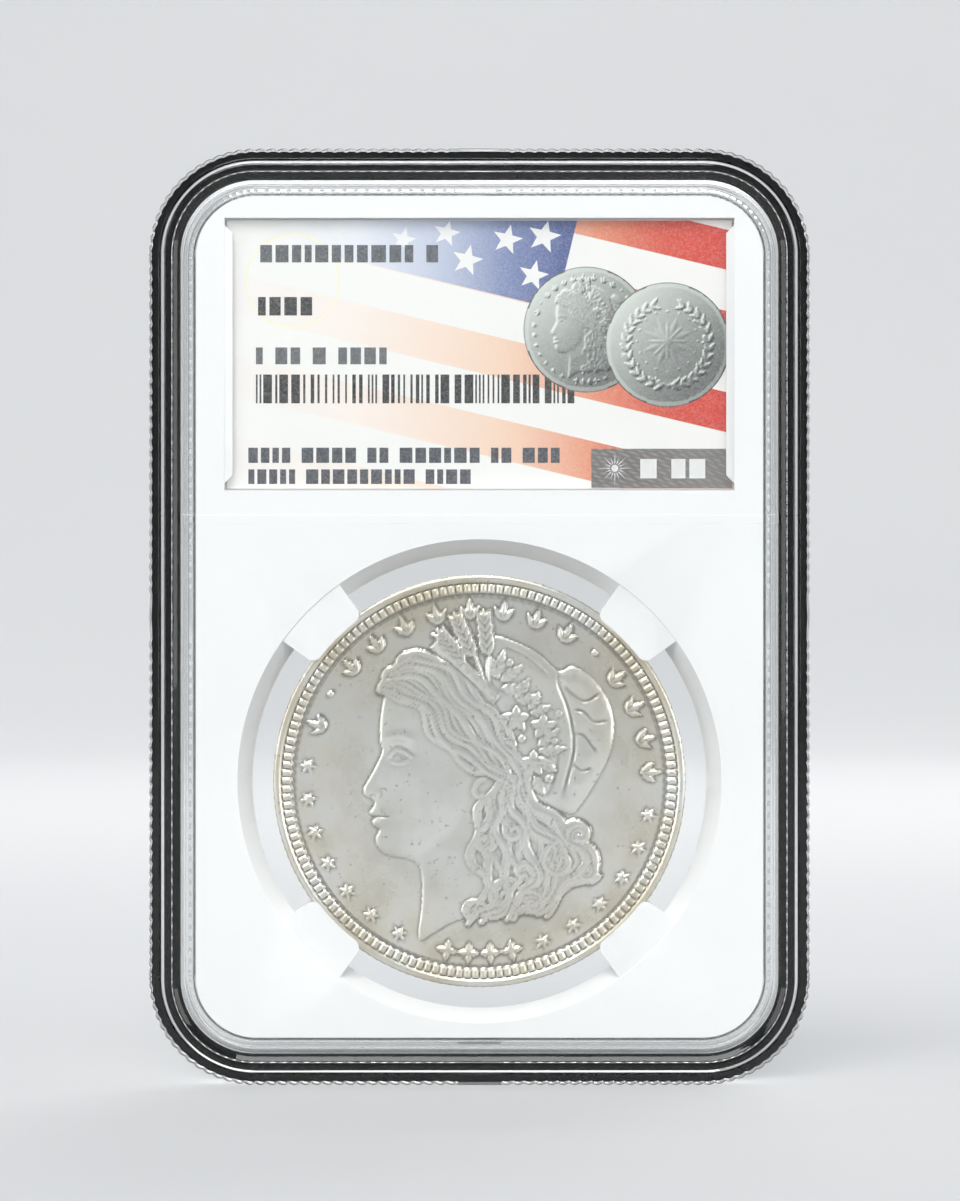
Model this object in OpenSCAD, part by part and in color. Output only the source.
// Graded coin slab: two clear welded shells round a white core that grips a coin in four prongs,
// with a printed label and a foil patch on each side of the core.
// Millimetres. +Z is up, the face looks toward -Y, and the slab stands on its bottom edge at z = 0.
// The pieces are drawn lying down, x to the right, y up the slab and z toward the viewer, then stood up.

/* [Coin] */
// Diameter of the coin over its reeds
coin_d = 38.1; // [16:0.1:46]
// Thickness of the coin at its rim
coin_t = 2.4; // [1.6:0.1:3.4]
// Width of the coin's raised rim
coin_rim_w = 0.75; // [0.4:0.05:1.5]
// Depth of the coin's field below its rim
coin_field_drop = 0.32; // [0.1:0.02:0.5]
// Number of reeds round the coin's edge
coin_reeds = 150; // [60:1:200]
// Depth of each reed
coin_reed_depth = 0.12; // [0.05:0.01:0.25]

/* [Holder] */
// Width of the whole holder
slab_w = 60.8; // [56:0.1:80]
// Height of the whole holder
slab_h = 86.1; // [70.2:0.1:110]
// Outer corner radius
corner_r = 9.8; // [6.5:0.1:14]
// From the outer edge to the cavity
wall = 4.15; // [3.7:0.05:6]
// Thickness of each clear window
window_t = 1.4; // [0.9:0.1:2.4]
// How far the windows lie below the stacking rims
window_drop = 0.8; // [0.4:0.1:1.4]
// How far the grooved edge band lies below the windows
band_drop = 0.4; // [0.1:0.1:0.8]
// Width of the divider rib across each window
rib_w = 0.9; // [0.5:0.1:2]
// Height of the divider rib, less than the drop of the window
rib_h = 0.35; // [0.1:0.05:0.4]

/* [Grip teeth on the edge] */
// Target spacing of the teeth
tooth_pitch = 1.05; // [0.7:0.05:2]
// Depth of the teeth
tooth_depth = 0.14; // [0.05:0.01:0.3]
// Length of the smooth land at the middle of each side
land_l = 4; // [2:0.5:12]

/* [Weld joint between the shells] */
// Width of the groove at the parting plane
weld_w = 1.2; // [0.8:0.1:1.6]
// Depth of the groove
weld_depth = 1; // [0.6:0.1:1.4]
// Clearance of the tongue in the groove
weld_gap = 0.08; // [0.04:0.02:0.2]

/* [Core] */
// Clearance between the core's edge and the cavity
core_gap = 0.15; // [0.05:0.05:0.4]
// Clearance between the core's face and the window
face_gap = 0.1; // [0.05:0.05:0.4]
// See-through gap between the coin and the well's wall
see_gap = 1.95; // [1:0.05:4]
// How far the well's wall opens out toward each face
well_flare = 1.3; // [0.3:0.1:2.5]
// How far each prong reaches over the coin's rim
grip = 0.45; // [0.3:0.05:0.9]
// Half angle of a prong, in degrees
prong_half = 9.5; // [6:0.5:14]
// Radius of a prong's inner corners
prong_round = 0.8; // [0.3:0.1:1.2]
// How far a prong's face lies below the core's face
prong_step = 0.1; // [0:0.05:0.3]
// Thickness of the prong's lip over the coin's rim
prong_lip = 0.35; // [0.25:0.05:0.8]
// Running clearance of the coin in the prongs, all round and on each face
coin_gap = 0.05; // [0.02:0.01:0.1]

/* [Label bay] */
// Width of the core left beside the label's window
bay_side = 2.62; // [1.5:0.1:8]
// Height of the core left above the label's window
bay_top = 2; // [1.2:0.1:5]
// Height of the bar between the label's window and the coin's well
bar_h = 4.5; // [3:0.1:10]
// Height of the core left below the coin's well
well_bottom = 1.3; // [0.8:0.1:5]
// Thickness of the web behind the labels
web_t = 1.2; // [0.6:0.1:1.8]
// How far the side clips reach over the label
clip_w = 0.73; // [0.4:0.05:1.5]
// Clearance of a clip over the label and foil
clip_gap = 0.12; // [0.05:0.01:0.3]
// Least thickness of a clip
clip_min = 0.3; // [0.2:0.05:0.6]
// Height of the open ear at each end of a clip
ear_h = 0.66; // [0.4:0.05:2]

/* [Labels and foil] */
// Thickness of a laminated label
label_t = 0.25; // [0.15:0.05:0.5]
// Clearance of a label in its bay
label_gap = 0.15; // [0.05:0.05:0.5]
// Width of the front foil patch
foil_w = 12.9; // [6:0.1:20]
// Height of the front foil patch
foil_h = 3.6; // [2:0.1:6]
// Width of the back foil patch
back_foil_w = 38; // [10:0.5:42]
// Thickness of the foil
foil_t = 0.08; // [0.05:0.01:0.15]

/* [Hidden] */
$fn = 96;
eps = 0.01;
// coin and well radii
coin_r = coin_d / 2;
well_in = coin_r + see_gap;
well_out = well_in + well_flare;
// the holder grows when the coin would no longer fit: the core keeps a strip round the well
// and a label bay at least bay_min high
edge = wall + core_gap;
bay_min = 9;
hw = max(slab_w, 2 * (well_out + well_bottom + edge));
hh = max(slab_h, 2 * well_out + well_bottom + bar_h + bay_min + bay_top + 2 * edge);
corner_min = 1.9;
corner = max(corner_r, wall + corner_min);
core_w = hw - 2 * edge;
core_h = hh - 2 * edge;
core_r = corner - edge;
// heights counted from the parting plane: the core holds both the coin and the clipped labels
label_z = web_t / 2;
clip_z = label_z + label_t + foil_t + clip_gap;
prong_t = coin_t + 2 * (coin_gap + prong_lip);
core_t = max(prong_t, 2 * (clip_z + clip_min)) + 2 * prong_step;
cavity_z = core_t / 2 + face_gap;
window_z = cavity_z + window_t;
half_t = window_z + window_drop;
band_z = window_z - band_drop;
// heights of the layout
coin_y = edge + well_bottom + well_out;
bay_y0 = coin_y + well_out + bar_h;
bay_y1 = hh - edge - bay_top;
bay_w = core_w - 2 * bay_side;
bay_h = bay_y1 - bay_y0;
rib_y = coin_y + well_out + bar_h * 0.41;
// labels and foil
label_w = bay_w - 2 * label_gap;
label_h = bay_h - 2 * label_gap;
patch_h = min(foil_h, label_h - 1);
patch_inset = 0.1;
back_patch_w = min(back_foil_w, label_w - 4);
back_patch_h = label_h - 6;
// rim sections as distance in from the edge against height above the parting plane
band_in = 0.5;
rim_in = wall + 0.6;
front_foot = 2.95;
front_rim = [
    [band_in, 0], [rim_in, 0], [rim_in, window_z], [front_foot, window_z],
    [2.7, window_z + window_drop * 0.44], [2.25, window_z + window_drop * 0.62],
    [2.15, half_t], [1.6, half_t], [1.45, half_t - 0.1], [0.95, band_z], [band_in, band_z]
];
back_foot = 4.5;
back_rim = [
    [band_in, 0], [rim_in, 0], [rim_in, window_z], [back_foot, window_z],
    [4.2, half_t], [3.4, half_t], [3.12, window_z], [1.35, window_z],
    [0.95, band_z], [band_in, band_z]
];
// the weld's section, between the outer rim and the cavity
weld_land = 0.25;
weld_in = wall - weld_land - weld_w;
weld_out = weld_in + weld_w;
weld_slope = weld_w / 3;
groove = [
    [weld_in, -eps], [weld_out, -eps], [weld_out - weld_slope, weld_depth],
    [weld_in + weld_slope, weld_depth]
];
tongue = [
    [weld_in + weld_gap, 0], [weld_out - weld_gap, 0],
    [weld_out - weld_slope - weld_gap / 2, weld_depth - 2 * weld_gap],
    [weld_in + weld_slope + weld_gap / 2, weld_depth - 2 * weld_gap]
];

// Stands a piece up: drawn with y up the slab, centred on x, z toward the viewer
module stand() {
    rotate([90, 0, 0])
        children();
}

// A rectangle with round corners, its lower edge at y0, centred on x
module round_rect(w, h, r, y0) {
    translate([-w / 2 + r, y0])
        square([w - 2 * r, h]);
    translate([-w / 2, y0 + r])
        square([w, h - 2 * r]);
    for (sx = [-1, 1])
        for (y = [y0 + r, y0 + h - r])
            translate([sx * (w / 2 - r), y])
                circle(r);
}

// The holder's outline, drawn in from the edge by d
module outline(d) {
    round_rect(hw - 2 * d, hh - 2 * d, corner - d, d);
}

// A section swept round the holder's outline: four runs and four corners
module sweep_rim(section) {
    run_w = hw - 2 * corner;
    run_h = hh - 2 * corner;
    translate([0, hh / 2, 0]) {
        for (a = [0, 180])
            rotate([0, 0, a])
                translate([-run_w / 2, -hh / 2, 0])
                    rotate([90, 0, 90])
                        linear_extrude(run_w)
                            polygon(section);
        for (a = [90, 270])
            rotate([0, 0, a])
                translate([-run_h / 2, -hw / 2, 0])
                    rotate([90, 0, 90])
                        linear_extrude(run_h)
                            polygon(section);
        for (q = [[1, 1, 0], [-1, 1, 90], [-1, -1, 180], [1, -1, 270]])
            translate([q.x * run_w / 2, q.y * run_h / 2, 0])
                rotate([0, 0, q.z])
                    rotate_extrude(angle = 90)
                        polygon([for (p = section) [corner - p.x, p.y]]);
    }
}

// Toothed outline, one quarter from the bottom land to the side land, centred on the holder
half_w = hw / 2;
half_h = hh / 2;
run_x = half_w - corner - land_l / 2;
run_y = half_h - corner - land_l / 2;
arc_l = corner * PI / 2;
teeth_x = max(2, round(run_x / tooth_pitch));
teeth_y = max(2, round(run_y / tooth_pitch));
teeth_a = max(4, round(arc_l / tooth_pitch));
quarter = concat(
    [[land_l / 2, -half_h]],
    [for (i = [1 : 2 * teeth_x - 1])
        [land_l / 2 + run_x * i / (2 * teeth_x), -half_h + tooth_depth * (i % 2)]],
    [for (i = [0 : 2 * teeth_a])
        let (a = -90 + 90 * i / (2 * teeth_a), r = corner - tooth_depth * (i % 2))
            [half_w - corner + r * cos(a), -half_h + corner + r * sin(a)]],
    [for (i = [1 : 2 * teeth_y - 1])
        [half_w - tooth_depth * (i % 2), -half_h + corner + run_y * i / (2 * teeth_y)]],
    [[half_w, -land_l / 2]]
);
last = len(quarter) - 1;
toothed = concat(
    quarter,
    [for (i = [last : -1 : 0]) [quarter[i].x, -quarter[i].y]],
    [for (p = quarter) [-p.x, -p.y]],
    [for (i = [last : -1 : 0]) [-quarter[i].x, quarter[i].y]]
);

// One half shell, drawn outward from the parting plane. foot is where the rim meets the window
module half_shell(section, foot) {
    rib_l = hw - 2 * foot + 0.2;
    difference() {
        union() {
            linear_extrude(band_z)
                difference() {
                    translate([0, hh / 2])
                        polygon(toothed);
                    outline(2 * band_in);
                }
            sweep_rim(section);
            translate([0, 0, cavity_z])
                linear_extrude(window_t)
                    outline(wall);
            translate([-rib_l / 2, rib_y - rib_w / 2, cavity_z + window_t / 2])
                cube([rib_l, rib_w, window_t / 2 + rib_h]);
        }
        translate([0, 0, -1])
            linear_extrude(cavity_z + 1)
                outline(wall);
    }
}

// Front half: carries the outer stacking rim and the weld tongue
module front_shell() {
    color([0.85, 0.9, 0.93, 0.35])
        stand()
            union() {
                half_shell(front_rim, front_foot);
                mirror([0, 0, 1])
                    sweep_rim(tongue);
            }
}

// Back half: its rim nests inside the front rim of the next slab, and it carries the weld groove
module back_shell() {
    color([0.8, 0.86, 0.9, 0.35])
        stand()
            mirror([0, 0, 1])
                difference() {
                    half_shell(back_rim, back_foot);
                    sweep_rim(groove);
                }
}

// One prong, seen from the front: radial sides and round inner corners, pointing along +x
module prong_2d() {
    tip = coin_r - grip;
    bend = tip + prong_round;
    turn = asin(prong_round / bend);
    root = well_out + 0.2;
    intersection() {
        difference() {
            circle(root);
            circle(bend);
        }
        polygon([
            [0, 0], [root * 1.2, -root * 1.2 * tan(prong_half)],
            [root * 1.2, root * 1.2 * tan(prong_half)]
        ]);
    }
    intersection() {
        difference() {
            circle(bend + eps);
            circle(tip);
        }
        polygon([
            [0, 0], [bend * 1.2, -bend * 1.2 * tan(prong_half - turn)],
            [bend * 1.2, bend * 1.2 * tan(prong_half - turn)]
        ]);
    }
    for (a = [-1, 1])
        rotate(a * (prong_half - turn))
            translate([bend, 0])
                circle(prong_round);
}

// White core: coin well, four grooved prongs, a label bay with clips on each face
module core_insert() {
    color([0.95, 0.95, 0.94])
        stand()
            union() {
                difference() {
                    translate([0, 0, -core_t / 2])
                        linear_extrude(core_t)
                            round_rect(core_w, core_h, core_r, edge);
                    translate([0, coin_y, 0])
                        rotate_extrude()
                            polygon([
                                [0, -core_t / 2 - eps], [well_out, -core_t / 2 - eps],
                                [well_out, -core_t / 2], [well_in, 0],
                                [well_out, core_t / 2], [well_out, core_t / 2 + eps],
                                [0, core_t / 2 + eps]
                            ]);
                    for (s = [0, 1])
                        mirror([0, 0, s])
                            translate([-bay_w / 2, bay_y0, web_t / 2])
                                cube([bay_w, bay_h, core_t]);
                }
                difference() {
                    translate([0, coin_y, -prong_t / 2])
                        linear_extrude(prong_t)
                            for (a = [45 : 90 : 315])
                                rotate(a)
                                    prong_2d();
                    translate([0, coin_y, -coin_t / 2 - coin_gap])
                        cylinder(r = coin_r + coin_gap, h = coin_t + 2 * coin_gap);
                }
                for (s = [0, 1])
                    mirror([0, 0, s])
                        translate([0, bay_y0, clip_z])
                            linear_extrude(core_t / 2 - prong_step - clip_z)
                                for (m = [0, 1])
                                    mirror([m, 0])
                                        polygon([
                                            [bay_w / 2 + eps, ear_h],
                                            [bay_w / 2 - clip_w, ear_h + clip_w],
                                            [bay_w / 2 - clip_w, bay_h - ear_h - clip_w],
                                            [bay_w / 2 + eps, bay_h - ear_h]
                                        ]);
            }
}

// The coin's reeded outline
module reeded(r) {
    polygon([
        for (i = [0 : 2 * coin_reeds - 1])
            let (a = 180 * i / coin_reeds, q = r - coin_reed_depth * (i % 2))
                [q * cos(a), q * sin(a)]
    ]);
}

// Coin: reeded edge, a raised rim and a lower field on each face
module coin() {
    color([0.7, 0.69, 0.65])
        stand()
            translate([0, coin_y, 0])
                difference() {
                    translate([0, 0, -coin_t / 2])
                        linear_extrude(coin_t)
                            reeded(coin_r);
                    for (s = [0, 1])
                        mirror([0, 0, s])
                            translate([0, 0, coin_t / 2 - coin_field_drop])
                                cylinder(r = coin_r - coin_rim_w, h = 1);
                }
}

// A label lies on the web and is held by the side clips
module label_sheet() {
    translate([0, 0, label_z])
        linear_extrude(label_t)
            round_rect(label_w, label_h, 0.3, bay_y0 + label_gap);
}

// Printed front label
module front_label() {
    color([0.86, 0.89, 0.93])
        stand()
            label_sheet();
}

// Printed back label
module back_label() {
    color([0.9, 0.9, 0.92])
        stand()
            mirror([0, 0, 1])
                label_sheet();
}

// Foil patch in the label's lower right corner
module front_foil() {
    color([0.6, 0.63, 0.66])
        stand()
            translate([
                label_w / 2 - foil_w - patch_inset, bay_y0 + label_gap + patch_inset,
                label_z + label_t
            ])
                cube([foil_w, patch_h, foil_t]);
}

// Foil panel in the middle of the back label
module back_foil() {
    color([0.62, 0.64, 0.68])
        stand()
            mirror([0, 0, 1])
                translate([0, 0, label_z + label_t])
                    linear_extrude(foil_t)
                        round_rect(back_patch_w, back_patch_h, 1, bay_y0 + (bay_h - back_patch_h) / 2);
}

front_shell();
back_shell();
core_insert();
coin();
front_label();
back_label();
front_foil();
back_foil();
